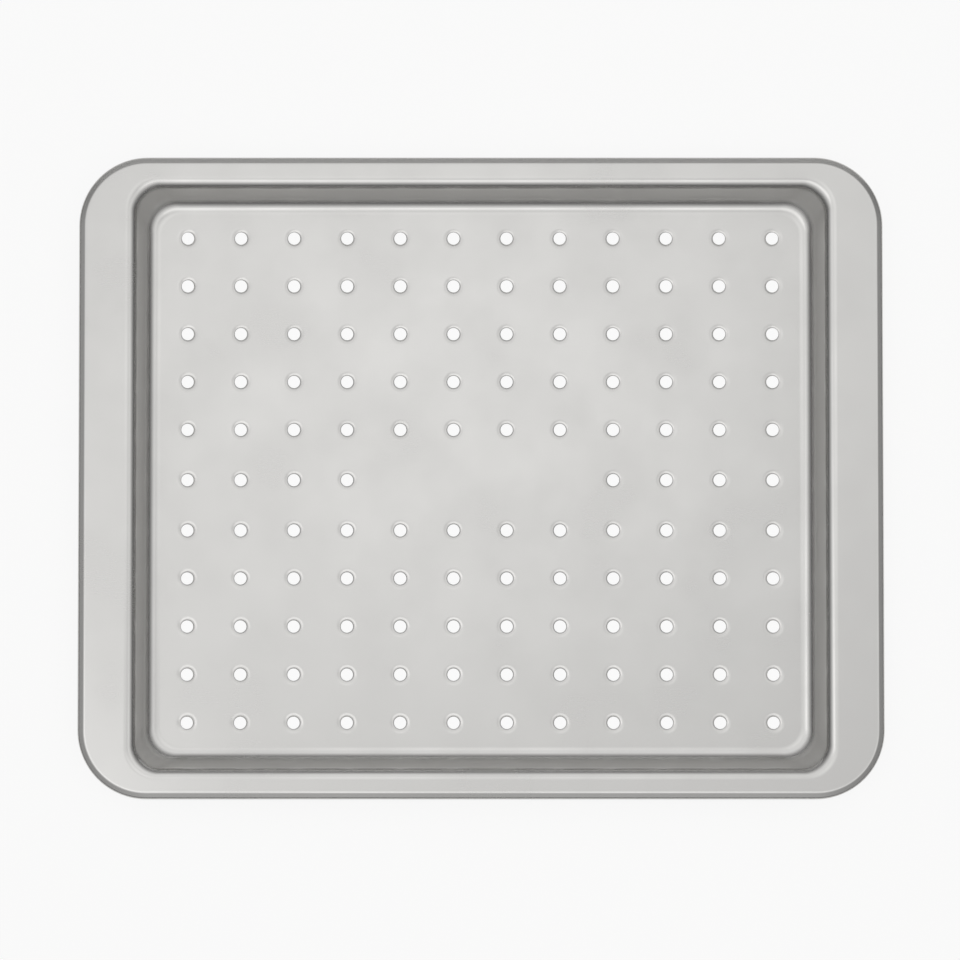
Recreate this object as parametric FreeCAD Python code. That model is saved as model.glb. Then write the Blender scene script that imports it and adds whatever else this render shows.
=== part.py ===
import FreeCAD, Part

"""Crisper pan: a shallow oven tray pressed in one piece from thin sheet steel.

The floor is perforated, the wall leans slightly outward, the flange is wide at the two ends to
serve as handles, and its edge is turned down and curled under. Units are millimetres. The origin
is the middle of the floor's underside, +X runs along the pan and +Z points up.
"""

import math
import os

V = FreeCAD.Vector
UP = V(0, 0, 1)

# Overall size, measured over the curled edge
overall_length = 406.0
overall_width = 324.0
overall_height = 20.0
overall_corner_radius = 35.0
sheet = 0.6

# Tray well, given where the middle of the wall sheet would cross the middle of the flange sheet
well_length = 348.4
well_width = 293.4
well_corner_radius = 11.5
wall_draft = 7.5

# Radius of the well's corners where the middle of the wall sheet would cross the middle of the
# floor sheet. The wall leans more at the corners than along the sides, as this is the larger one.
floor_corner_radius = 17.5

# Bends, measured to the middle of the sheet
foot_radius = 7.3
rim_radius = 5.2

# Edge of the flange: it bends down to a slope, then curls under to a smooth hem
edge_radius = 4.6
edge_slope = 80.0
edge_slope_length = 0.5
curl_radius = 1.7
curl_turn = 110.0

# Perforation: even rows and columns, with the middle row set a little further from its
# neighbours and a plain panel left in the middle of it
hole_diameter = 6.4
hole_bevel = 0.7
hole_columns = 12
hole_rows_each_side = 5
plain_columns = 4
end_margin = 14.0
side_margin = 12.5
middle_row_extra = 1.2


def sheet_sides(start, heading, steps):
    """Control points of a bent sheet's section, one set for each step.

    start is a point (x, z) on the middle of the sheet and heading its direction in degrees. Each
    step is (length, 0) for a straight run or (radius, turn) for a bend, where a positive turn
    is anticlockwise with X to the right and Z up. Each set holds the points of the middle, the
    left and the right side of the sheet and their weights: two points for a straight run, three
    for a bend.
    """
    half = sheet / 2
    x, z = start
    angle = math.radians(heading)
    sets = []
    for size, turn in steps:
        if turn == 0:
            nx, nz = -math.sin(angle), math.cos(angle)
            ends = [(x, z), (x + size * math.cos(angle), z + size * math.sin(angle))]
            left = [(px + nx * half, pz + nz * half) for px, pz in ends]
            right = [(px - nx * half, pz - nz * half) for px, pz in ends]
            sets.append((ends, left, right, [1.0, 1.0]))
            x, z = ends[1]
        else:
            side = math.copysign(1.0, turn)
            bend = math.radians(turn)
            centre_x = x - side * size * math.sin(angle)
            centre_z = z + side * size * math.cos(angle)
            weight = math.cos(bend / 2)
            curves = []
            for radius in (size, size - side * half, size + side * half):
                reaches = [(0.0, radius), (bend / 2, radius / weight), (bend, radius)]
                curves.append([
                    (
                        centre_x + side * reach * math.sin(angle + part),
                        centre_z - side * reach * math.cos(angle + part),
                    )
                    for part, reach in reaches
                ])
            sets.append((*curves, [1.0, weight, 1.0]))
            angle += bend
            x, z = curves[0][-1]
    return sets


def section_edge(points, weight):
    """Line through two control points in the XZ plane, or the arc that three of them make."""
    first, last = V(points[0][0], 0, points[0][1]), V(points[-1][0], 0, points[-1][1])
    if len(points) == 2:
        return Part.LineSegment(first, last).toShape()
    corner = V(points[1][0], 0, points[1][1])
    middle = (first + corner * (2 * weight) + last) * (1 / (2 + 2 * weight))
    return Part.Arc(first, middle, last).toShape()


def sheet_section(start, heading, steps):
    """Section of a bent sheet in the XZ plane, as a face."""
    sets = sheet_sides(start, heading, steps)
    edges = []
    for _, left, right, weights in sets:
        edges.append(section_edge(left, weights[1]))
        edges.append(section_edge(right, weights[1]))
    edges.append(section_edge([sets[0][1][0], sets[0][2][0]], 1.0))
    edges.append(section_edge([sets[-1][1][-1], sets[-1][2][-1]], 1.0))
    return Part.Face(Part.Wire(Part.sortEdges(edges)[0]))


def swept_round(section, half_length, half_width, corner_radius):
    """Solids made by taking a section all the way round a rounded rectangle.

    The section's x = 0 runs along the rectangle and its +x points outward. Each side is an
    extrusion and each corner a quarter turn about the corner's own axis.
    """
    pieces = []
    for quarter in range(4):
        reach, across = (half_length, half_width) if quarter % 2 == 0 else (half_width, half_length)
        straight = across - corner_radius
        placed = section.translated(V(reach, -straight, 0))
        side = placed.extrude(V(0, 2 * straight, 0))
        corner = section.translated(V(reach, straight, 0))
        corner = corner.revolve(V(reach - corner_radius, straight, 0), UP, 90)
        for piece in (side, corner):
            piece.rotate(V(0, 0, 0), UP, 90 * quarter)
            pieces.append(piece)
    return pieces


def patch(poles, weights_along, weights_across):
    """Face of one smooth surface given by a grid of poles."""
    degrees = len(poles) - 1, len(poles[0]) - 1
    surface = Part.BSplineSurface()
    surface.buildFromPolesMultsKnots(
        poles,
        [degrees[0] + 1] * 2,
        [degrees[1] + 1] * 2,
        [0.0, 1.0],
        [0.0, 1.0],
        False,
        False,
        degrees[0],
        degrees[1],
        [[a * b for b in weights_across] for a in weights_along],
    )
    return surface.toShape()


def drawn_wall(sets, half_length, half_width, corner_radius):
    """The wall all the way round as one solid.

    sets are the section's control points, with x = 0 on the rectangle of the given half sizes.
    corner_radius is a function of a point's x and of the height z of the sheet's middle there.
    """
    quarter_turn = [(1, 0), (1, 1), (0, 1)]
    quarter_weights = [1.0, math.sqrt(0.5), 1.0]
    runs = []
    for middle, left, right, weights in sets:
        runs.append((middle, left, weights))
        runs.append((middle, right, weights))
    for end in (0, -1):
        middle, left, right, _ = sets[end]
        runs.append(([middle[end]] * 2, [left[end], right[end]], [1.0, 1.0]))

    faces = []
    for quarter in range(4):
        reach, across = (half_length, half_width) if quarter % 2 == 0 else (half_width, half_length)
        for middle, side, weights in runs:
            flat, round_corner = [], []
            for (_, middle_z), (x, z) in zip(middle, side):
                radius = corner_radius(x, middle_z)
                straight = across + x - radius
                flat.append([V(reach + x, -straight, z), V(reach + x, straight, z)])
                centre_x = reach + x - radius
                round_corner.append(
                    [V(centre_x + radius * c, straight + radius * s, z) for c, s in quarter_turn]
                )
            for face in (
                patch(flat, weights, [1.0, 1.0]),
                patch(round_corner, weights, quarter_weights),
            ):
                face.rotate(V(0, 0, 0), UP, 90 * quarter)
                faces.append(face)
    shell = Part.Shell(faces)
    shell.sewShape()
    wall = Part.Solid(shell)
    if wall.Volume < 0:
        wall.reverse()
    return wall


def rounded_rectangle(half_length, half_width, radius, z):
    """Flat face with rounded corners, at height z."""
    plain = Part.makePlane(2 * half_length, 2 * half_width, V(-half_length, -half_width, z))
    solid = plain.extrude(V(0, 0, 1))
    upright = [e for e in solid.Edges if abs(e.tangentAt(e.FirstParameter).z) > 0.5]
    rounded = solid.makeFillet(radius, upright)
    return min(rounded.Faces, key=lambda face: face.CenterOfMass.z)


def hole_centres(pitch_x, pitch_y):
    """Plan positions of the perforation, symmetrical about both axes."""
    centres = []
    for row in range(-hole_rows_each_side, hole_rows_each_side + 1):
        y = row * pitch_y + math.copysign(middle_row_extra, row) * (row != 0)
        for column in range(hole_columns):
            across = column - (hole_columns - 1) / 2
            if row == 0 and abs(across) < plain_columns / 2:
                continue
            centres.append(V(across * pitch_x, y, 0))
    return centres


def perforated_floor(half_length, half_width, corner_radius):
    """The flat of the floor, with every hole's edge coined to a bevel through the sheet."""
    plate = rounded_rectangle(half_length, half_width, corner_radius, 0).extrude(V(0, 0, sheet))
    pitch_x = 2 * (half_length - end_margin) / (hole_columns - 1)
    pitch_y = (half_width - side_margin - middle_row_extra) / hole_rows_each_side
    small = hole_diameter / 2
    punch = Part.makeCone(small - hole_bevel, small + 2 * hole_bevel, 3 * sheet, V(0, 0, -sheet))
    punches = [punch.translated(centre) for centre in hole_centres(pitch_x, pitch_y)]
    return plate.cut(Part.makeCompound(punches))


def crisper_pan():
    """The whole pan as one solid."""
    turn = 90 - wall_draft
    foot_setback = foot_radius * math.tan(math.radians(turn) / 2)
    rim_setback = rim_radius * math.tan(math.radians(turn) / 2)
    rise = overall_height - sheet
    lean = rise * math.tan(math.radians(wall_draft))
    slant = rise / math.cos(math.radians(wall_draft)) - foot_setback - rim_setback

    # The wall, from the flat of the floor up to the flat of the flange
    foot_start = (-lean - foot_setback, sheet / 2)
    wall_steps = [(foot_radius, turn), (slant, 0), (rim_radius, -turn)]
    wall_sides = sheet_sides(foot_start, 0, wall_steps)
    spread = (well_corner_radius - floor_corner_radius - lean) / rise

    def corner_radius(x, z):
        return floor_corner_radius + lean + x + spread * (z - sheet / 2)

    wall = drawn_wall(wall_sides, well_length / 2, well_width / 2, corner_radius)

    # The flange's outer edge, bent down and curled under
    slope = math.radians(edge_slope)
    edge_reach = (
        (edge_radius + sheet / 2) * math.sin(slope)
        + edge_slope_length * math.cos(slope)
        + (curl_radius + sheet / 2) * (1 - math.sin(slope))
    )
    edge_steps = [(edge_radius, -edge_slope), (edge_slope_length, 0), (curl_radius, -curl_turn)]
    edge = sheet_section((0, overall_height - sheet / 2), 0, edge_steps)
    edge_path = (
        overall_length / 2 - edge_reach,
        overall_width / 2 - edge_reach,
        overall_corner_radius - edge_reach,
    )
    edges = swept_round(edge, *edge_path)

    # The flat of the flange between the wall's upper bend and the turned-down edge
    below_flange = overall_height - sheet
    outside = rounded_rectangle(*edge_path, below_flange)
    opening = rounded_rectangle(
        well_length / 2 + rim_setback,
        well_width / 2 + rim_setback,
        well_corner_radius + rim_setback,
        below_flange,
    )
    flange = outside.cut(opening).extrude(V(0, 0, sheet))

    inward = lean + foot_setback
    floor = perforated_floor(
        well_length / 2 - inward, well_width / 2 - inward, floor_corner_radius - foot_setback
    )
    pan = floor.multiFuse([flange, wall] + edges)
    return pan.removeSplitter()


os.makedirs("parts", exist_ok=True)
pan = crisper_pan()
pan.exportStep("parts/crisper_pan.step")
box = pan.optimalBoundingBox()
print(f"crisper_pan: {len(pan.Solids)} solid, valid {pan.isValid()}, {pan.Volume / 1000:.1f} cm3")
print(f"size {box.XLength:.2f} x {box.YLength:.2f} x {box.ZLength:.2f}")
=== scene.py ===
import math

import bpy
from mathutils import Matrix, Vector


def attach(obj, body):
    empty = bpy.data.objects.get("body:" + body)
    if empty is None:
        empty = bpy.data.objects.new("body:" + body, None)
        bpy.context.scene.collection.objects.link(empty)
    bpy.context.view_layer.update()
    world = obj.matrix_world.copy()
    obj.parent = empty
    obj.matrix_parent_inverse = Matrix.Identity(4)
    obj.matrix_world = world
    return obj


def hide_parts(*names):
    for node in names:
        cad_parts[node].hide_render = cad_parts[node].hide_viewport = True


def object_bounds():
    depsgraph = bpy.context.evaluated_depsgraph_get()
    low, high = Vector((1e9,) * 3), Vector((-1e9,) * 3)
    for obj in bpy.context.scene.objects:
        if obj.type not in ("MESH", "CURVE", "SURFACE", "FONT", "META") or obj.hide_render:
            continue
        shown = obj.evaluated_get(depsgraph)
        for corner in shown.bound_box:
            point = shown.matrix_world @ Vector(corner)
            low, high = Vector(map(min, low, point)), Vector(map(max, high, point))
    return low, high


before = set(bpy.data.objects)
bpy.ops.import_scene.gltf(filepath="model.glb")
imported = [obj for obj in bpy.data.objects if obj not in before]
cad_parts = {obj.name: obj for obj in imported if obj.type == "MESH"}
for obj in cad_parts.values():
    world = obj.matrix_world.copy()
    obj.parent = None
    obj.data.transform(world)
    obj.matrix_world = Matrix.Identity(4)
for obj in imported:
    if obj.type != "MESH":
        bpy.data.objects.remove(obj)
cad_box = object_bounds()
cad_size = cad_box[1] - cad_box[0]

bl_info = {
    "name": "Crisper Pan",
    "version": (1, 0, 0),
    "blender": (4, 5, 0),
    "location": "3D View > Sidebar > Crisper Pan",
    "description": "Makes a perforated sheet-steel oven tray and a plain studio to see it in",
    "category": "Add Mesh",
}

MM = 0.001
NODE = "crisper_pan"


def linear(hex_colour):
    """Linear RGBA of an sRGB colour written as #RRGGBB."""
    parts = [int(hex_colour[i : i + 2], 16) / 255 for i in (1, 3, 5)]
    parts = [p / 12.92 if p <= 0.04045 else ((p + 0.055) / 1.055) ** 2.4 for p in parts]
    return (*parts, 1.0)


def add_node(tree, kind, inputs=(), output=0, **settings):
    """Add a node with its settings, give its inputs values or links, and return one output.

    inputs is a list in the node's own order or a dictionary by name or number. A Mix node's go by
    number: 0 is the factor, and the two sides are 2 and 3 as floats, 4 and 5 as vectors, 6 and 7
    as colours.
    """
    node = tree.nodes.new(kind)
    across, down = divmod(len(tree.nodes) - 1, 8)
    node.location = (across * 220, down * -190)
    for name, value in settings.items():
        setattr(node, name, value)
    pairs = inputs.items() if isinstance(inputs, dict) else enumerate(inputs)
    for key, value in pairs:
        if isinstance(value, bpy.types.NodeSocket):
            tree.links.new(value, node.inputs[key])
        else:
            node.inputs[key].default_value = value
    return node.outputs[output] if node.outputs else node


def length_property(name, description, millimetres):
    """A length in metres that the panel shows as a distance."""
    return bpy.props.FloatProperty(
        name=name,
        description=description,
        default=millimetres * MM,
        min=0.0,
        precision=5,
        subtype="DISTANCE",
        unit="LENGTH",
    )


def angle_property(name, description, degrees):
    """An angle in radians that the panel shows in degrees."""
    return bpy.props.FloatProperty(
        name=name,
        description=description,
        default=math.radians(degrees),
        subtype="ANGLE",
        unit="ROTATION",
    )


def count_property(name, description, default):
    """A whole number of repeats or steps."""
    return bpy.props.IntProperty(name=name, description=description, default=default, min=0)


def level_property(name, description, default):
    """A level of light, where 1 is white."""
    return bpy.props.FloatProperty(name=name, description=description, default=default, min=0.0)


def colour_property(name, description, hex_colour):
    """A colour, given as an sRGB hex value."""
    return bpy.props.FloatVectorProperty(
        name=name,
        description=description,
        default=linear(hex_colour),
        size=4,
        min=0.0,
        max=1.0,
        subtype="COLOR",
    )


class PanSizes(bpy.types.PropertyGroup):
    """Sizes of the pressed sheet. Bend radii are to the middle of the sheet."""

    length: length_property("Length", "Overall, over the curled edge", cad_size.x / MM)
    width: length_property("Width", "Overall, over the curled edge", cad_size.y / MM)
    height: length_property("Height", "From underside to flange top", cad_size.z / MM)
    corner_radius: length_property("Corner radius", "Outer corner of the flange", 35.0)
    sheet: length_property("Sheet", "Thickness of the steel", 0.6)
    well_length: length_property("Well length", "Between the wall tops", 348.4)
    well_width: length_property("Well width", "Between the wall tops", 293.4)
    well_corner_radius: length_property("Well corner radius", "At the wall tops", 11.5)
    floor_corner_radius: length_property("Floor corner radius", "At the wall feet", 17.5)
    wall_draft: angle_property("Wall draft", "Lean of the wall from upright", 7.5)
    foot_radius: length_property("Foot radius", "Bend from floor to wall", 7.3)
    rim_radius: length_property("Rim radius", "Bend from wall to flange", 5.2)
    band_radius: length_property("Band radius", "Bend from flange to edge band", 3.0)
    band_fall: angle_property("Band fall", "Steepness of the band round the flange", 24.0)
    band_length: length_property("Band length", "Straight part of the band", 2.135)
    edge_radius: length_property("Edge radius", "Bend that turns the edge down", 2.0)
    edge_slope: angle_property("Edge slope", "Steepness of the turned-down edge", 80.0)
    edge_slope_length: length_property("Edge slope length", "Straight part of the slope", 1.65)
    curl_radius: length_property("Curl radius", "Hem curled under the slope", 1.7)
    curl_turn: angle_property("Curl turn", "How far the hem curls under", 110.0)
    bend_steps: count_property("Bend steps", "Faces across each bend", 10)
    corner_steps: count_property("Corner steps", "Faces round each corner", 28)


class HoleSizes(bpy.types.PropertyGroup):
    """Sizes of the perforation in the floor."""

    diameter: length_property("Diameter", "Clear opening of a hole", 6.4)
    bevel: length_property("Bevel", "Width of the coined edge round a hole", 0.6)
    dish: length_property("Dish", "Width of the shallow dish that punching leaves", 1.7)
    dip: length_property("Dip", "Depth of that dish", 0.12)
    columns: count_property("Columns", "Holes along the pan", 12)
    rows_each_side: count_property("Rows each side", "Rows either side of the middle row", 5)
    plain_columns: count_property("Plain columns", "Left out in the middle row", 4)
    end_margin: length_property("End margin", "First column to the floor's bend", 14.0)
    side_margin: length_property("Side margin", "First row to the floor's bend", 12.5)
    middle_extra: length_property("Middle row extra", "Extra gap beside the middle row", 1.2)
    steps: count_property("Steps", "Faces round each hole", 24)


class PanFinish(bpy.types.PropertyGroup):
    """Look of the aluminised steel."""

    steel: colour_property("Steel", "Colour of the bright metal", "#D6D5D3")
    dull_steel: colour_property("Dull steel", "Colour where the coating is duller", "#D1D0CE")
    # painted light: the wall's colour is lighter than the steel's, to lift the shade on the wall
    wall_steel_painted_lighter: colour_property("Drawn steel", "Colour of the stretched wall", "#DEDDDB")
    roughness: bpy.props.FloatProperty(
        name="Roughness",
        description="Blur of the reflections in the satin coating",
        default=0.22,
        min=0.0,
        max=1.0,
        subtype="FACTOR",
    )


class Studio(bpy.types.PropertyGroup):
    """Table and light."""

    table: colour_property("Table", "Colour of the table top", "#F4F4F3")
    horizon: level_property("Horizon", "Level of the dark room near the table", 0.08)
    screens: level_property("Screens", "Level at the top of the screens all round", 0.98)
    lamps: level_property("Lamps", "Extra level of the lamps in front and to the left", 0.55)
    ceiling: level_property("Ceiling", "Level of the ceiling between the screens", 0.54)
    glow: level_property("Glow", "Extra level where the ceiling is lit", 0.54)
    top_lamp: bpy.props.FloatProperty(
        name="Top lamp", description="Power of the softbox overhead", default=0.15, unit="POWER"
    )


def outer_edge_reach(sizes):
    """How far the turned-down edge stands out from the flat of the flange."""
    band, slope = sizes.band_fall, sizes.edge_slope
    return (
        sizes.band_radius * math.sin(band)
        + sizes.band_length * math.cos(band)
        + sizes.edge_radius * (math.sin(slope) - math.sin(band))
        + sizes.edge_slope_length * math.cos(slope)
        + sizes.curl_radius * (1 - math.sin(slope))
        + sizes.sheet / 2
    )


def section_points(sizes):
    """Corners of the sheet's middle line at the +X end, from the floor out to the hem.

    Each is (x, z, bend radius, 1 on the outer edge or 0 on the well). Points without a bend lie
    just beside the bends, so that the flats between them shade as flats.
    """
    beside = 0.4 * MM
    past_hem = 0.1 * MM
    top = sizes.height - sizes.sheet / 2
    bottom = sizes.sheet / 2
    rim_x = sizes.well_length / 2
    lean = (top - bottom) * math.tan(sizes.wall_draft)
    half_turn = (math.pi / 2 - sizes.wall_draft) / 2
    foot_set = sizes.foot_radius * math.tan(half_turn)
    rim_set = sizes.rim_radius * math.tan(half_turn)
    band_set = sizes.band_radius * math.tan(sizes.band_fall / 2)
    edge_set = sizes.edge_radius * math.tan((sizes.edge_slope - sizes.band_fall) / 2)
    curl_set = sizes.curl_radius * math.tan(sizes.curl_turn / 2)

    foot = Vector((rim_x - lean, bottom))
    rim = Vector((rim_x, top))
    up_wall = (rim - foot).normalized()
    band = Vector((sizes.length / 2 - outer_edge_reach(sizes) + band_set, top))
    down_band = Vector((math.cos(sizes.band_fall), -math.sin(sizes.band_fall)))
    edge = band + down_band * (band_set + sizes.band_length + edge_set)
    down_slope = Vector((math.cos(sizes.edge_slope), -math.sin(sizes.edge_slope)))
    hem = edge + down_slope * (edge_set + sizes.edge_slope_length + curl_set)
    hem_angle = -sizes.edge_slope - sizes.curl_turn
    hem_end = hem + Vector((math.cos(hem_angle), math.sin(hem_angle))) * (curl_set + past_hem)

    line = [
        (foot - Vector((foot_set + beside, 0)), 0.0, 0.0),
        (foot, sizes.foot_radius, 0.0),
        (foot + up_wall * (foot_set + beside), 0.0, 0.0),
        (rim - up_wall * (rim_set + beside), 0.0, 0.0),
        (rim, sizes.rim_radius, 0.0),
        (rim + Vector((rim_set + beside, 0)), 0.0, 0.0),
        (band - Vector((band_set + beside, 0)), 0.0, 1.0),
        (band, sizes.band_radius, 1.0),
        (band + down_band * (band_set + beside), 0.0, 1.0),
        (edge - down_band * (edge_set + beside), 0.0, 1.0),
        (edge, sizes.edge_radius, 1.0),
        (hem, sizes.curl_radius, 1.0),
        (hem_end, 0.0, 1.0),
    ]
    return [(point.x, point.y, bend, outer) for point, bend, outer in line]


def floor_half_size(sizes):
    """Half length and half width of the flat of the floor."""
    lean = (sizes.height - sizes.sheet) * math.tan(sizes.wall_draft)
    foot_set = sizes.foot_radius * math.tan((math.pi / 2 - sizes.wall_draft) / 2)
    inward = lean + foot_set
    return sizes.well_length / 2 - inward, sizes.well_width / 2 - inward


def hole_ring_tree():
    """Node group for one hole: its dished surround and coined edge, as a ring of faces."""
    tree = bpy.data.node_groups.new("Coined Hole", "GeometryNodeTree")
    for name, kind in (
        ("Radius", "NodeSocketFloat"),
        ("Bevel", "NodeSocketFloat"),
        ("Dish", "NodeSocketFloat"),
        ("Dip", "NodeSocketFloat"),
        ("Surround", "NodeSocketFloat"),
        ("Sheet", "NodeSocketFloat"),
        ("Steps", "NodeSocketInt"),
    ):
        tree.interface.new_socket(name, in_out="INPUT", socket_type=kind)
    tree.interface.new_socket("Ring", in_out="OUTPUT", socket_type="NodeSocketGeometry")
    given = {socket.name: socket for socket in add_node(tree, "NodeGroupInput").node.outputs}

    rings = 4
    around = add_node(tree, "FunctionNodeIntegerMath", [given["Steps"], 1], operation="ADD")
    grid = add_node(tree, "GeometryNodeMeshGrid", {"Vertices X": rings, "Vertices Y": around})
    index = add_node(tree, "GeometryNodeInputIndex")
    ring = add_node(tree, "FunctionNodeIntegerMath", [index, around], operation="DIVIDE_FLOOR")
    spoke = add_node(tree, "FunctionNodeIntegerMath", [index, around], operation="MODULO")

    # Rings 0 and 1 bound the flat surround. Ring 2 is where the dish meets the coined edge, and
    # ring 3 is the hole at the underside.
    widest = add_node(tree, "ShaderNodeMath", [given["Radius"], given["Bevel"]], operation="ADD")
    dish_edge = add_node(tree, "ShaderNodeMath", [widest, given["Dish"]], operation="ADD")
    dipped = add_node(tree, "ShaderNodeMath", [given["Sheet"], given["Dip"]], operation="SUBTRACT")
    radius = add_node(tree, "ShaderNodeMapRange", [ring, 1, 2, dish_edge, widest])
    inward = add_node(tree, "ShaderNodeMapRange", [ring, 2, 3, 0, given["Bevel"]])
    radius = add_node(tree, "ShaderNodeMath", [radius, inward], operation="SUBTRACT")
    outermost = add_node(tree, "ShaderNodeMath", [ring, 0.5], operation="LESS_THAN")
    radius = add_node(
        tree, "ShaderNodeMath", [outermost, given["Surround"], radius], operation="MULTIPLY_ADD"
    )
    top = add_node(tree, "ShaderNodeMapRange", [ring, 1, 2, given["Sheet"], dipped])
    raised = add_node(tree, "ShaderNodeMapRange", [ring, 2, 3, 1, 0])
    height = add_node(tree, "ShaderNodeMath", [top, raised], operation="MULTIPLY")

    turn = add_node(tree, "ShaderNodeMath", [spoke, given["Steps"]], operation="DIVIDE")
    turn = add_node(tree, "ShaderNodeMath", [turn, -2 * math.pi], operation="MULTIPLY")
    across = add_node(tree, "ShaderNodeMath", [turn], operation="COSINE")
    along = add_node(tree, "ShaderNodeMath", [turn], operation="SINE")
    x = add_node(tree, "ShaderNodeMath", [across, radius], operation="MULTIPLY")
    y = add_node(tree, "ShaderNodeMath", [along, radius], operation="MULTIPLY")
    place = add_node(tree, "ShaderNodeCombineXYZ", [x, y, height])
    made = add_node(tree, "GeometryNodeSetPosition", {"Geometry": grid, "Position": place})
    add_node(tree, "NodeGroupOutput", [made])
    return tree


def perforation_tree(ring_tree):
    """Node group for the perforated flat of the floor, inside the outlines of its two sides."""
    tree = bpy.data.node_groups.new("Perforated Floor", "GeometryNodeTree")
    for name, kind in (
        ("Upper Outline", "NodeSocketGeometry"),
        ("Lower Outline", "NodeSocketGeometry"),
        ("Sheet", "NodeSocketFloat"),
        ("Hole Radius", "NodeSocketFloat"),
        ("Hole Bevel", "NodeSocketFloat"),
        ("Hole Dish", "NodeSocketFloat"),
        ("Hole Dip", "NodeSocketFloat"),
        ("Columns", "NodeSocketInt"),
        ("Rows", "NodeSocketInt"),
        ("Plain Columns", "NodeSocketInt"),
        ("Column Pitch", "NodeSocketFloat"),
        ("Row Pitch", "NodeSocketFloat"),
        ("Middle Row Extra", "NodeSocketFloat"),
        ("Hole Steps", "NodeSocketInt"),
    ):
        tree.interface.new_socket(name, in_out="INPUT", socket_type=kind)
    tree.interface.new_socket("Floor", in_out="OUTPUT", socket_type="NodeSocketGeometry")
    given = {socket.name: socket for socket in add_node(tree, "NodeGroupInput").node.outputs}

    # Centres of the holes: a grid of points, opened up beside the middle row
    gaps_x = add_node(tree, "ShaderNodeMath", [given["Columns"], 1], operation="SUBTRACT")
    gaps_y = add_node(tree, "ShaderNodeMath", [given["Rows"], 1], operation="SUBTRACT")
    pitch_x, pitch_y = given["Column Pitch"], given["Row Pitch"]
    size_x = add_node(tree, "ShaderNodeMath", [gaps_x, pitch_x], operation="MULTIPLY")
    size_y = add_node(tree, "ShaderNodeMath", [gaps_y, pitch_y], operation="MULTIPLY")
    grid = add_node(
        tree, "GeometryNodeMeshGrid", [size_x, size_y, given["Columns"], given["Rows"]]
    )
    position = add_node(tree, "GeometryNodeInputPosition")
    across = add_node(tree, "ShaderNodeSeparateXYZ", [position], output="X")
    along = add_node(tree, "ShaderNodeSeparateXYZ", [position], output="Y")
    row = add_node(tree, "ShaderNodeMath", [along, pitch_y], operation="DIVIDE")
    row = add_node(tree, "ShaderNodeMath", [row], operation="ROUND")
    side = add_node(tree, "ShaderNodeMath", [row], operation="SIGN")
    middle = add_node(tree, "ShaderNodeMath", [row, 0, 0.5], operation="COMPARE")
    reach = add_node(
        tree, "ShaderNodeMath", [given["Plain Columns"], pitch_x], operation="MULTIPLY"
    )
    reach = add_node(tree, "ShaderNodeMath", [reach, 0.5], operation="MULTIPLY")
    off_middle = add_node(tree, "ShaderNodeMath", [across], operation="ABSOLUTE")
    near = add_node(tree, "ShaderNodeMath", [off_middle, reach], operation="LESS_THAN")
    plain = add_node(tree, "ShaderNodeMath", [middle, near], operation="MULTIPLY")
    centres = add_node(tree, "GeometryNodeDeleteGeometry", {"Geometry": grid, "Selection": plain})
    centres = add_node(tree, "GeometryNodeMeshToPoints", {"Mesh": centres})
    extra = add_node(
        tree, "ShaderNodeMath", [side, given["Middle Row Extra"]], operation="MULTIPLY"
    )
    shift = add_node(tree, "ShaderNodeCombineXYZ", [0, extra, 0])
    centres = add_node(tree, "GeometryNodeSetPosition", {"Geometry": centres, "Offset": shift})

    # The dished and coined edges, each with a narrow flat ring outside it, so that the floor
    # between the holes shades as a flat
    surround = 0.4 * MM
    ring = add_node(
        tree,
        "GeometryNodeGroup",
        node_tree=ring_tree,
        inputs={
            "Radius": given["Hole Radius"],
            "Bevel": given["Hole Bevel"],
            "Dish": given["Hole Dish"],
            "Dip": given["Hole Dip"],
            "Surround": surround,
            "Sheet": given["Sheet"],
            "Steps": given["Hole Steps"],
        },
    )
    rings = add_node(tree, "GeometryNodeInstanceOnPoints", {"Points": centres, "Instance": ring})

    # The flats of the two sides, each filled between its outline and its circles
    widest = add_node(
        tree, "ShaderNodeMath", [given["Hole Radius"], given["Hole Bevel"]], operation="ADD"
    )
    widest = add_node(tree, "ShaderNodeMath", [widest, given["Hole Dish"]], operation="ADD")
    widest = add_node(tree, "ShaderNodeMath", [widest, surround], operation="ADD")
    flats = []
    for outline, radius in (("Upper Outline", widest), ("Lower Outline", given["Hole Radius"])):
        circle = add_node(
            tree,
            "GeometryNodeCurvePrimitiveCircle",
            {"Resolution": given["Hole Steps"], "Radius": radius},
        )
        circles = add_node(
            tree, "GeometryNodeInstanceOnPoints", {"Points": centres, "Instance": circle}
        )
        circles = add_node(tree, "GeometryNodeRealizeInstances", {"Geometry": circles})
        lines = add_node(tree, "GeometryNodeJoinGeometry", [circles])
        tree.links.new(given[outline], lines.node.inputs[0])
        flats.append(add_node(tree, "GeometryNodeFillCurve", {"Curve": lines}))
    lift = add_node(tree, "ShaderNodeCombineXYZ", [0, 0, given["Sheet"]])
    upper = add_node(tree, "GeometryNodeSetPosition", {"Geometry": flats[0], "Offset": lift})
    lower = add_node(tree, "GeometryNodeFlipFaces", {"Mesh": flats[1]})
    joined = add_node(tree, "GeometryNodeJoinGeometry", [rings])
    tree.links.new(upper, joined.node.inputs[0])
    tree.links.new(lower, joined.node.inputs[0])
    add_node(tree, "NodeGroupOutput", [joined])
    return tree


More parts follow.
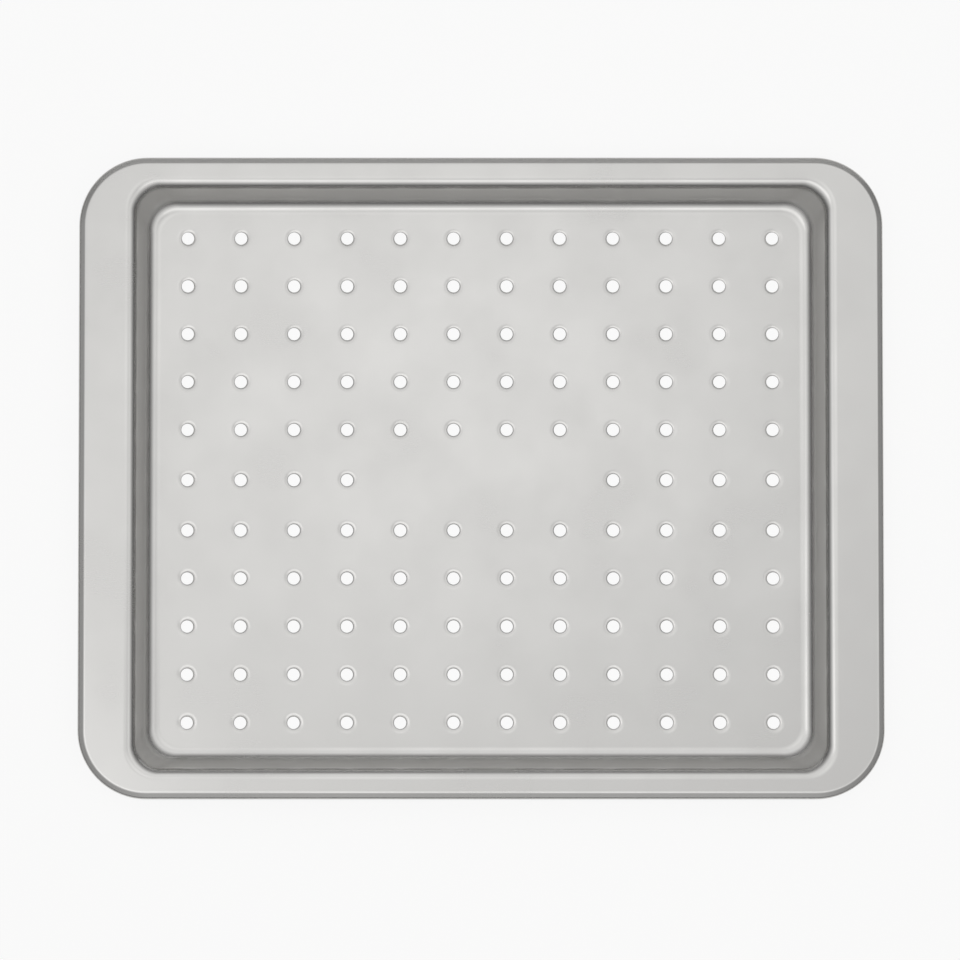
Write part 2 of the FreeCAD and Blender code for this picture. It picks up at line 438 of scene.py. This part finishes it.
def pressed_pan_tree():
    """Node group that turns the section's middle line into the whole pressed pan."""
    floor_tree = perforation_tree(hole_ring_tree())
    tree = bpy.data.node_groups.new("Pressed Pan", "GeometryNodeTree")
    tree.is_modifier = True
    for name, kind in (
        ("Section Line", "NodeSocketGeometry"),
        ("Sheet", "NodeSocketFloat"),
        ("Well Corner Centre", "NodeSocketVector"),
        ("Corner Spread", "NodeSocketFloat"),
        ("Edge Corner Centre", "NodeSocketVector"),
        ("Bend Steps", "NodeSocketInt"),
        ("Corner Steps", "NodeSocketInt"),
        ("Hole Radius", "NodeSocketFloat"),
        ("Hole Bevel", "NodeSocketFloat"),
        ("Hole Dish", "NodeSocketFloat"),
        ("Hole Dip", "NodeSocketFloat"),
        ("Columns", "NodeSocketInt"),
        ("Rows", "NodeSocketInt"),
        ("Plain Columns", "NodeSocketInt"),
        ("Column Pitch", "NodeSocketFloat"),
        ("Row Pitch", "NodeSocketFloat"),
        ("Middle Row Extra", "NodeSocketFloat"),
        ("Hole Steps", "NodeSocketInt"),
        ("Steel", "NodeSocketMaterial"),
    ):
        tree.interface.new_socket(name, in_out="INPUT", socket_type=kind)
    tree.interface.new_socket("Pan", in_out="OUTPUT", socket_type="NodeSocketGeometry")
    given = {socket.name: socket for socket in add_node(tree, "NodeGroupInput").node.outputs}

    # Round the bends of the middle line
    bend = add_node(
        tree, "GeometryNodeInputNamedAttribute", {"Name": "bend_radius"}, data_type="FLOAT"
    )
    bent = add_node(tree, "ShaderNodeMath", [bend], operation="SIGN")
    steps = add_node(tree, "ShaderNodeMath", [bent, given["Bend Steps"]], operation="MULTIPLY")
    line = add_node(tree, "GeometryNodeMeshToCurve", {"Mesh": given["Section Line"]})
    line = add_node(
        tree,
        "GeometryNodeFilletCurve",
        {"Curve": line, "Count": steps, "Radius": bend},
        mode="POLY",
    )
    points = add_node(
        tree, "GeometryNodeAttributeDomainSize", [line], output="Point Count", component="CURVE"
    )

    # A grid whose rows follow the sheet's section, out along its upper side and back along its
    # underside, and whose columns go round the pan
    strip = add_node(tree, "FunctionNodeIntegerMath", [points, 2], operation="MULTIPLY")
    corner_columns = add_node(
        tree, "FunctionNodeIntegerMath", [given["Corner Steps"], 3], operation="ADD"
    )
    around = add_node(
        tree, "FunctionNodeIntegerMath", [corner_columns, 4, 1], operation="MULTIPLY_ADD"
    )
    grid = add_node(tree, "GeometryNodeMeshGrid", {"Vertices X": strip, "Vertices Y": around})
    index = add_node(tree, "GeometryNodeInputIndex")
    row = add_node(tree, "FunctionNodeIntegerMath", [index, around], operation="DIVIDE_FLOOR")
    column = add_node(tree, "FunctionNodeIntegerMath", [index, around], operation="MODULO")
    last = add_node(tree, "FunctionNodeIntegerMath", [strip, 1], operation="SUBTRACT")
    from_end = add_node(tree, "FunctionNodeIntegerMath", [last, row], operation="SUBTRACT")
    sample = add_node(tree, "FunctionNodeIntegerMath", [row, from_end], operation="MINIMUM")
    side = add_node(tree, "FunctionNodeIntegerMath", [from_end, row], operation="SUBTRACT")
    side = add_node(tree, "FunctionNodeIntegerMath", [side], operation="SIGN")

    # The section point of each row: on the middle line, moved half a sheet to its side
    position = add_node(tree, "GeometryNodeInputPosition")
    tangent = add_node(tree, "GeometryNodeInputTangent")
    upward = add_node(
        tree, "ShaderNodeVectorMath", [tangent, (0, 1, 0)], operation="CROSS_PRODUCT"
    )
    middle = add_node(
        tree,
        "GeometryNodeSampleIndex",
        {"Geometry": line, "Value": position, "Index": sample},
        data_type="FLOAT_VECTOR",
    )
    upward = add_node(
        tree,
        "GeometryNodeSampleIndex",
        {"Geometry": line, "Value": upward, "Index": sample},
        data_type="FLOAT_VECTOR",
    )
    outer = add_node(
        tree, "GeometryNodeInputNamedAttribute", {"Name": "on_edge"}, data_type="FLOAT"
    )
    outer = add_node(
        tree,
        "GeometryNodeSampleIndex",
        {"Geometry": line, "Value": outer, "Index": sample},
        data_type="FLOAT",
    )
    half_sheet = add_node(tree, "ShaderNodeMath", [given["Sheet"], 0.5], operation="MULTIPLY")
    away = add_node(tree, "ShaderNodeMath", [half_sheet, side], operation="MULTIPLY")
    offset = add_node(tree, "ShaderNodeVectorMath", {0: upward, "Scale": away}, operation="SCALE")
    section = add_node(tree, "ShaderNodeVectorMath", [middle, offset], operation="ADD")
    section_x = add_node(tree, "ShaderNodeSeparateXYZ", [section], output="X")
    section_z = add_node(tree, "ShaderNodeSeparateXYZ", [section], output="Z")

    # The corner that each column belongs to and its angle there, with one column just beside
    # the corner at either end of it, so that the sides shade as flats
    beside = 2.0 * MM
    corner = add_node(
        tree, "FunctionNodeIntegerMath", [column, corner_columns], operation="DIVIDE_FLOOR"
    )
    step = add_node(
        tree, "FunctionNodeIntegerMath", [column, corner_columns], operation="MODULO"
    )
    step = add_node(tree, "FunctionNodeIntegerMath", [step, 1], operation="SUBTRACT")
    on_arc = add_node(tree, "ShaderNodeClamp", [step, 0, given["Corner Steps"]])
    beyond = add_node(tree, "ShaderNodeMath", [step, on_arc], operation="SUBTRACT")
    beyond = add_node(tree, "ShaderNodeMath", [beyond, beside], operation="MULTIPLY")
    share = add_node(
        tree, "ShaderNodeMath", [on_arc, given["Corner Steps"]], operation="DIVIDE"
    )
    angle = add_node(tree, "ShaderNodeMath", [corner, share], operation="ADD")
    angle = add_node(tree, "ShaderNodeMath", [angle, math.pi / 2], operation="MULTIPLY")
    cosine = add_node(tree, "ShaderNodeMath", [angle], operation="COSINE")
    sine = add_node(tree, "ShaderNodeMath", [angle], operation="SINE")
    minus_sine = add_node(tree, "ShaderNodeMath", [sine, -1], operation="MULTIPLY")
    outward = add_node(tree, "ShaderNodeCombineXYZ", [cosine, sine, 0])
    onward = add_node(tree, "ShaderNodeCombineXYZ", [minus_sine, cosine, 0])
    diagonal = add_node(
        tree,
        "ShaderNodeMath",
        [corner, math.pi / 2, math.pi / 4],
        operation="MULTIPLY_ADD",
    )
    sign_x = add_node(tree, "ShaderNodeMath", [diagonal], operation="COSINE")
    sign_y = add_node(tree, "ShaderNodeMath", [diagonal], operation="SINE")
    signs = add_node(tree, "ShaderNodeCombineXYZ", [sign_x, sign_y, 0])
    signs = add_node(tree, "ShaderNodeVectorMath", [signs], operation="SIGN")

    # Sweep the section: the well's corners turn about centres that move outward from the floor
    # up, and the outer edge's about one centre
    middle_z = add_node(tree, "ShaderNodeSeparateXYZ", [middle], output="Z")
    outward_shift = add_node(
        tree, "ShaderNodeMath", [middle_z, given["Corner Spread"]], operation="MULTIPLY"
    )
    outward_shift = add_node(tree, "ShaderNodeCombineXYZ", [outward_shift, outward_shift, 0])
    well_centre = add_node(
        tree, "ShaderNodeVectorMath", [given["Well Corner Centre"], outward_shift], operation="ADD"
    )
    centre = add_node(
        tree,
        "ShaderNodeMix",
        {0: outer, 4: well_centre, 5: given["Edge Corner Centre"]},
        output=1,
        data_type="VECTOR",
    )
    centre_x = add_node(tree, "ShaderNodeSeparateXYZ", [centre], output="X")
    radius = add_node(tree, "ShaderNodeMath", [section_x, centre_x], operation="SUBTRACT")
    centre = add_node(tree, "ShaderNodeVectorMath", [centre, signs], operation="MULTIPLY")
    out = add_node(tree, "ShaderNodeVectorMath", {0: outward, "Scale": radius}, operation="SCALE")
    on = add_node(tree, "ShaderNodeVectorMath", {0: onward, "Scale": beyond}, operation="SCALE")
    height = add_node(tree, "ShaderNodeCombineXYZ", [0, 0, section_z])
    place = add_node(tree, "ShaderNodeVectorMath", [centre, out], operation="ADD")
    place = add_node(tree, "ShaderNodeVectorMath", [place, on], operation="ADD")
    place = add_node(tree, "ShaderNodeVectorMath", [place, height], operation="ADD")
    swept = add_node(tree, "GeometryNodeSetPosition", {"Geometry": grid, "Position": place})
    weld = 0.01 * MM
    swept = add_node(
        tree, "GeometryNodeMergeByDistance", {"Geometry": swept, "Distance": weld}
    )

    # The floor fills the two open loops of the swept sheet
    faces = add_node(tree, "GeometryNodeInputMeshEdgeNeighbors")
    open_edge = add_node(tree, "ShaderNodeMath", [faces, 1, 0.5], operation="COMPARE")
    edge_z = add_node(tree, "ShaderNodeSeparateXYZ", [position], output="Z")
    outlines = []
    for test in ("GREATER_THAN", "LESS_THAN"):
        on_side = add_node(tree, "ShaderNodeMath", [edge_z, half_sheet], operation=test)
        chosen = add_node(tree, "ShaderNodeMath", [open_edge, on_side], operation="MULTIPLY")
        outlines.append(
            add_node(tree, "GeometryNodeMeshToCurve", {"Mesh": swept, "Selection": chosen})
        )
    floor = add_node(
        tree,
        "GeometryNodeGroup",
        node_tree=floor_tree,
        inputs={
            "Upper Outline": outlines[0],
            "Lower Outline": outlines[1],
            **{
                name: given[name]
                for name in (
                    "Sheet",
                    "Hole Radius",
                    "Hole Bevel",
                    "Hole Dish",
                    "Hole Dip",
                    "Columns",
                    "Rows",
                    "Plain Columns",
                    "Column Pitch",
                    "Row Pitch",
                    "Middle Row Extra",
                    "Hole Steps",
                )
            },
        },
    )
    pan = add_node(tree, "GeometryNodeJoinGeometry", [swept])
    tree.links.new(floor, pan.node.inputs[0])
    pan = add_node(tree, "GeometryNodeRealizeInstances", {"Geometry": pan})
    pan = add_node(tree, "GeometryNodeMergeByDistance", {"Geometry": pan, "Distance": weld})

    # Smooth everywhere but at the sheet's cut edges
    sharpest = math.radians(50)
    pan = add_node(
        tree, "GeometryNodeSetShadeSmooth", {"Geometry": pan, "Shade Smooth": True}, domain="FACE"
    )
    fold = add_node(tree, "GeometryNodeInputMeshEdgeAngle")
    sharp = add_node(tree, "ShaderNodeMath", [fold, sharpest], operation="GREATER_THAN")
    pan = add_node(
        tree,
        "GeometryNodeSetShadeSmooth",
        {"Geometry": pan, "Selection": sharp, "Shade Smooth": False},
        domain="EDGE",
    )
    pan = add_node(tree, "GeometryNodeSetMaterial", {"Geometry": pan, "Material": given["Steel"]})
    add_node(tree, "NodeGroupOutput", [pan])
    return tree


def aluminised_steel(finish):
    """Hot-dip aluminised steel, rolled and pressed, for the whole pan.

    The coating gives an even silver-grey satin: reflections are soft, the sheet's rolling shows
    as faint fine lines along it, and handling leaves slightly duller patches. Drawing stretches
    the wall, which is duller; the wall is also painted a little lighter than the rest, as painted
    light that lifts the shade on it.
    """
    patch_size = 45 * MM
    line_length, line_gap = 40 * MM, 0.5 * MM
    grain_size = 0.8 * MM
    swell_size = 70 * MM
    material = bpy.data.materials.new("hot_dip_aluminised_steel")
    material.use_nodes = True
    tree = material.node_tree
    shader = tree.nodes["Principled BSDF"]
    shader.inputs["Metallic"].default_value = 1.0
    place = add_node(tree, "ShaderNodeTexCoord", output="Object")

    # Duller patches: the noise at which the colour and the roughness start and stop changing
    colour_from, colour_to = 0.35, 0.65
    rough_from, rough_to = 0.3, 0.7
    patches = add_node(
        tree,
        "ShaderNodeTexNoise",
        {"Vector": place, "Scale": 1 / patch_size, "Detail": 3.0, "Roughness": 0.5},
    )
    patch = add_node(tree, "ShaderNodeMapRange", [patches, colour_from, colour_to])
    colour = add_node(
        tree,
        "ShaderNodeMix",
        {0: patch, 6: tuple(finish.steel), 7: tuple(finish.dull_steel)},
        output=2,
        data_type="RGBA",
    )
    brightest, dullest = finish.roughness - 0.03, finish.roughness + 0.04
    rough = add_node(
        tree, "ShaderNodeMapRange", [patches, rough_from, rough_to, brightest, dullest]
    )

    # The drawn wall, from its mid height out to its bends: duller, and painted lighter as painted
    # light that lifts its shade
    wall_dulling = 0.4
    wall_ends, wall_full = 7.0 * MM, 5.0 * MM
    height = add_node(tree, "ShaderNodeSeparateXYZ", [place], output="Z")
    from_middle = add_node(
        tree, "ShaderNodeMath", [height, cad_size.z / 2], operation="SUBTRACT"
    )
    from_middle = add_node(tree, "ShaderNodeMath", [from_middle], operation="ABSOLUTE")
    wall_dulled_and_painted_lighter = add_node(tree, "ShaderNodeMapRange", [from_middle, wall_ends, wall_full])
    # painted light: the wall's middle takes the lighter wall colour, which lifts the shade on it
    colour = add_node(
        tree,
        "ShaderNodeMix",
        {0: wall_dulled_and_painted_lighter, 6: colour, 7: tuple(finish.wall_steel_painted_lighter)},
        output=2,
        data_type="RGBA",
    )
    tree.links.new(colour, shader.inputs["Base Color"])
    rough = add_node(
        tree, "ShaderNodeMath", [wall_dulled_and_painted_lighter, wall_dulling, rough], operation="MULTIPLY_ADD"
    )

    # Rolling lines, drawn coarser than the real ones so that they show
    line_dulling = 0.04
    stretched = add_node(
        tree,
        "ShaderNodeMapping",
        {"Vector": place, "Scale": (1 / line_length, 1 / line_gap, 1 / line_gap)},
    )
    lines = add_node(
        tree,
        "ShaderNodeTexNoise",
        {"Vector": stretched, "Scale": 1.0, "Detail": 2.0, "Roughness": 0.6},
    )
    rough = add_node(
        tree, "ShaderNodeMath", [lines, line_dulling, rough], operation="MULTIPLY_ADD"
    )
    tree.links.new(rough, shader.inputs["Roughness"])

    # The skin of the coating, and the slow unevenness of a pressed sheet
    grain = add_node(
        tree,
        "ShaderNodeTexNoise",
        {"Vector": place, "Scale": 1 / grain_size, "Detail": 2.0, "Roughness": 0.5},
    )
    swell = add_node(
        tree,
        "ShaderNodeTexNoise",
        {"Vector": place, "Scale": 1 / swell_size, "Detail": 1.0, "Roughness": 0.4},
    )
    surface = None
    for pattern, strength, depth in (
        (swell, 1.0, 0.04 * MM),
        (lines, 0.5, 0.004 * MM),
        (grain, 0.5, 0.006 * MM),
    ):
        inputs = {"Height": pattern, "Strength": strength, "Distance": depth}
        if surface:
            inputs["Normal"] = surface
        surface = add_node(tree, "ShaderNodeBump", inputs)
    tree.links.new(surface, shader.inputs["Normal"])
    return material


class PAN_OT_press_pan(bpy.types.Operator):
    """Make the pan from its section line and its rows of holes"""

    bl_idname = "crisper_pan.press_pan"
    bl_label = "Press Pan"

    def execute(self, context):
        sizes = context.scene.pan_sizes
        holes = context.scene.pan_holes
        points = section_points(sizes)
        drawing = bpy.data.meshes.new("section_line")
        corners = [(x, 0, z) for x, z, bend, outer in points]
        drawing.from_pydata(corners, [(i, i + 1) for i in range(len(corners) - 1)], [])
        bends = drawing.attributes.new("bend_radius", "FLOAT", "POINT")
        bends.data.foreach_set("value", [bend for x, z, bend, outer in points])
        outers = drawing.attributes.new("on_edge", "FLOAT", "POINT")
        outers.data.foreach_set("value", [outer for x, z, bend, outer in points])
        blank = bpy.data.objects.new("section_line", drawing)
        context.scene.collection.objects.link(blank)

        floor_x, floor_y = floor_half_size(sizes)
        rise = sizes.height - sizes.sheet
        lean = rise * math.tan(sizes.wall_draft)
        spread = (sizes.floor_corner_radius + lean - sizes.well_corner_radius) / rise
        inward = lean + sizes.floor_corner_radius + spread * sizes.sheet / 2
        values = {
            "Sheet": sizes.sheet,
            "Well Corner Centre": (
                sizes.well_length / 2 - inward,
                sizes.well_width / 2 - inward,
                0.0,
            ),
            "Corner Spread": spread,
            "Edge Corner Centre": (
                sizes.length / 2 - sizes.corner_radius,
                sizes.width / 2 - sizes.corner_radius,
                0.0,
            ),
            "Bend Steps": sizes.bend_steps,
            "Corner Steps": sizes.corner_steps,
            "Hole Radius": holes.diameter / 2,
            "Hole Bevel": holes.bevel,
            "Hole Dish": holes.dish,
            "Hole Dip": holes.dip,
            "Columns": holes.columns,
            "Rows": 2 * holes.rows_each_side + 1,
            "Plain Columns": holes.plain_columns,
            "Column Pitch": 2 * (floor_x - holes.end_margin) / (holes.columns - 1),
            "Row Pitch": (floor_y - holes.side_margin - holes.middle_extra)
            / holes.rows_each_side,
            "Middle Row Extra": holes.middle_extra,
            "Hole Steps": holes.steps,
            "Steel": aluminised_steel(context.scene.pan_finish),
        }
        modifier = blank.modifiers.new("pressed_pan", "NODES")
        modifier.node_group = pressed_pan_tree()
        for item in modifier.node_group.interface.items_tree:
            if item.item_type == "SOCKET" and item.in_out == "INPUT" and item.name in values:
                modifier[item.identifier] = values[item.name]

        evaluated = blank.evaluated_get(context.evaluated_depsgraph_get())
        mesh = bpy.data.meshes.new_from_object(evaluated)
        if len(mesh.polygons) == 0:
            raise RuntimeError("the pan's node tree gave no faces")
        bpy.data.objects.remove(blank)
        mesh.name = "pressed_pan"
        pan = bpy.data.objects.new("pressed_pan", mesh)
        context.scene.collection.objects.link(pan)
        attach(pan, "root")
        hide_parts(NODE)
        return {"FINISHED"}


class PAN_OT_set_stage(bpy.types.Operator):
    """Set up the table, the white card, the light and the camera"""

    bl_idname = "crisper_pan.set_stage"
    bl_label = "Set Stage"

    def execute(self, context):
        studio = context.scene.pan_studio
        self.lay_table(context, studio)
        self.stand_card(context)
        self.set_light(context, studio)
        self.set_camera(context)
        return {"FINISHED"}

    def lay_table(self, context, studio):
        """A table top that keeps the pan's shadow.

        It is matt white laminate, even and without gloss. A share of it glows, so that the
        picture's ground is pale and the metal's reflections of it are no darker.
        """
        half, below = 5.0, 0.2 * MM
        glow_to_camera, glow_to_metal = 0.85, 0.35
        mesh = bpy.data.meshes.new("table_top")
        corners = [(-half, -half, -below), (half, -half, -below)]
        corners += [(half, half, -below), (-half, half, -below)]
        mesh.from_pydata(corners, [], [(0, 1, 2, 3)])
        material = bpy.data.materials.new("matt_white_laminate")
        material.use_nodes = True
        tree = material.node_tree
        tree.nodes.clear()
        to_camera = add_node(tree, "ShaderNodeLightPath", output="Is Camera Ray")
        rays = to_camera.node.outputs
        to_metal = add_node(
            tree,
            "ShaderNodeMath",
            [rays["Is Glossy Ray"], rays["Is Transmission Ray"]],
            operation="MAXIMUM",
        )
        share = add_node(tree, "ShaderNodeMath", [to_camera, glow_to_camera], operation="MULTIPLY")
        share = add_node(
            tree, "ShaderNodeMath", [to_metal, glow_to_metal, share], operation="MULTIPLY_ADD"
        )
        matt = add_node(tree, "ShaderNodeBsdfDiffuse", {"Color": tuple(studio.table)})
        white = add_node(tree, "ShaderNodeEmission", {"Color": (1, 1, 1, 1), "Strength": 1.0})
        mixed = add_node(tree, "ShaderNodeMixShader", [share, matt, white])
        add_node(tree, "ShaderNodeOutputMaterial", {"Surface": mixed})
        mesh.materials.append(material)
        table = bpy.data.objects.new("table_top", mesh)
        context.scene.collection.objects.link(table)

    def stand_card(self, context):
        """A low card of matt white board behind the pan, which shows in reflections alone."""
        half, behind, height = 0.6, 0.5, 0.16
        mesh = bpy.data.meshes.new("white_card")
        corners = [(-half, behind, 0.0), (half, behind, 0.0)]
        corners += [(half, behind, height), (-half, behind, height)]
        mesh.from_pydata(corners, [], [(0, 1, 2, 3)])
        material = bpy.data.materials.new("matt_white_board")
        material.use_nodes = True
        shader = material.node_tree.nodes["Principled BSDF"]
        shader.inputs["Base Color"].default_value = linear("#E8E8E8")
        shader.inputs["Roughness"].default_value = 1.0
        shader.inputs["Specular IOR Level"].default_value = 0.0
        mesh.materials.append(material)
        card = bpy.data.objects.new("white_card", mesh)
        card.visible_camera = False
        card.visible_shadow = False
        context.scene.collection.objects.link(card)

    def set_light(self, context, studio):
        """A room with a lit ceiling and lamps in front and to the left, darker near the table."""
        # Heights in the room, as degrees above the table top: each pair is where a part of it
        # begins to show and where it shows in full
        screens_top = 50
        ceiling_edge = (59, 67)
        lamps_foot, lamps_head = (52, 59), (78, 70)
        # Towards the lamps, and how far round to them their light begins and is full
        to_lamps = (-0.45, -0.9, 0)
        lamps_side = (0.05, 0.3)
        # The ceiling's brightest spot and how fast it fades, both seen on a plane 1 m up
        glow_centre, glow_fading = (-0.03, 0.17, 0), (2.0, 2.6, 0)
        lowest = 0.05

        world = bpy.data.worlds.new("studio_room")
        world.use_nodes = True
        tree = world.node_tree
        tree.nodes.clear()
        direction = add_node(tree, "ShaderNodeTexCoord", output="Generated")
        height = add_node(tree, "ShaderNodeSeparateXYZ", [direction], output="Z")
        overhead, above_foot, below_head = (
            add_node(
                tree,
                "ShaderNodeMapRange",
                [height, math.sin(math.radians(begins)), math.sin(math.radians(full))],
                interpolation_type="SMOOTHSTEP",
            )
            for begins, full in (ceiling_edge, lamps_foot, lamps_head)
        )

        # The screens all round brighten with the square of the height
        squared = add_node(tree, "ShaderNodeMath", [height, 2.0], operation="POWER")
        top = math.sin(math.radians(screens_top)) ** 2
        screens = add_node(
            tree, "ShaderNodeMapRange", [squared, 0, top, studio.horizon, studio.screens]
        )

        # The lamps
        facing = add_node(
            tree,
            "ShaderNodeVectorMath",
            [direction, to_lamps],
            output="Value",
            operation="DOT_PRODUCT",
        )
        lamps = add_node(
            tree,
            "ShaderNodeMapRange",
            [facing, *lamps_side, 0, studio.lamps],
            interpolation_type="SMOOTHSTEP",
        )
        lamps = add_node(tree, "ShaderNodeMath", [lamps, above_foot], operation="MULTIPLY")
        lamps = add_node(tree, "ShaderNodeMath", [lamps, below_head], operation="MULTIPLY")

        # The ceiling
        above = add_node(tree, "ShaderNodeMath", [height, lowest], operation="MAXIMUM")
        spread = add_node(tree, "ShaderNodeMath", [1.0, above], operation="DIVIDE")
        aside = add_node(
            tree, "ShaderNodeVectorMath", {0: direction, "Scale": spread}, operation="SCALE"
        )
        for operation, value in (("SUBTRACT", glow_centre), ("MULTIPLY", glow_fading)):
            aside = add_node(tree, "ShaderNodeVectorMath", [aside, value], operation=operation)
        fall = add_node(
            tree, "ShaderNodeVectorMath", [aside, aside], output="Value", operation="DOT_PRODUCT"
        )
        fall = add_node(tree, "ShaderNodeMath", [fall, -1.0], operation="MULTIPLY")
        glow = add_node(tree, "ShaderNodeMath", [fall], operation="EXPONENT")
        ceiling = add_node(
            tree, "ShaderNodeMath", [glow, studio.glow, studio.ceiling], operation="MULTIPLY_ADD"
        )

        # All together, and plain white to the camera
        level = add_node(tree, "ShaderNodeMix", {0: overhead, 2: screens, 3: ceiling})
        level = add_node(tree, "ShaderNodeMath", [level, lamps], operation="ADD")
        to_camera = add_node(tree, "ShaderNodeLightPath", output="Is Camera Ray")
        level = add_node(tree, "ShaderNodeMix", {0: to_camera, 2: level, 3: 1.0})
        background = add_node(
            tree, "ShaderNodeBackground", {"Color": (1, 1, 1, 1), "Strength": level}
        )
        add_node(tree, "ShaderNodeOutputWorld", {"Surface": background})
        context.scene.world = world

        lamp = bpy.data.lights.new("top_softbox", "AREA")
        lamp.shape = "RECTANGLE"
        lamp.size, lamp.size_y = 1.05, 1.1
        lamp.energy = studio.top_lamp
        holder = bpy.data.objects.new("top_softbox", lamp)
        holder.location = (-0.03, 0.20, 1.05)
        holder.visible_camera = False
        context.scene.collection.objects.link(holder)

    def set_camera(self, context):
        """A camera straight above, a little left and in front of the pan's middle."""
        from_middle = Vector((-17.4, -52.2, 665))
        tilt = math.radians(0.75)
        lens = bpy.data.cameras.new("camera")
        lens.sensor_width = 36.0
        lens.lens = 48.3
        lens.shift_x, lens.shift_y = 0.035, 0.0878
        camera = bpy.data.objects.new("camera", lens)
        camera.location = from_middle * MM
        camera.rotation_euler = (tilt, 0, 0)
        context.scene.collection.objects.link(camera)
        context.scene.camera = camera
        context.scene.view_settings.view_transform = "Standard"


class VIEW3D_PT_crisper_pan(bpy.types.Panel):
    """Sizes, finish and studio of the crisper pan"""

    bl_idname = "VIEW3D_PT_crisper_pan"
    bl_label = "Crisper Pan"
    bl_space_type = "VIEW_3D"
    bl_region_type = "UI"
    bl_category = "Crisper Pan"

    def draw(self, context):
        for group, operator in (
            ("pan_sizes", None),
            ("pan_holes", None),
            ("pan_finish", "crisper_pan.press_pan"),
            ("pan_studio", "crisper_pan.set_stage"),
        ):
            box = self.layout.box()
            settings = getattr(context.scene, group)
            for name in settings.__annotations__:
                box.prop(settings, name)
            if operator:
                box.operator(operator)


GROUPS = {
    "pan_sizes": PanSizes,
    "pan_holes": HoleSizes,
    "pan_finish": PanFinish,
    "pan_studio": Studio,
}
CLASSES = (*GROUPS.values(), PAN_OT_press_pan, PAN_OT_set_stage, VIEW3D_PT_crisper_pan)


def register():
    for cls in CLASSES:
        bpy.utils.register_class(cls)
    for name, group in GROUPS.items():
        setattr(bpy.types.Scene, name, bpy.props.PointerProperty(type=group))


def unregister():
    for name in GROUPS:
        delattr(bpy.types.Scene, name)
    for cls in reversed(CLASSES):
        bpy.utils.unregister_class(cls)


def main():
    register()
    bpy.ops.crisper_pan.press_pan()
    bpy.ops.crisper_pan.set_stage()


if __name__ == "__main__":
    main()
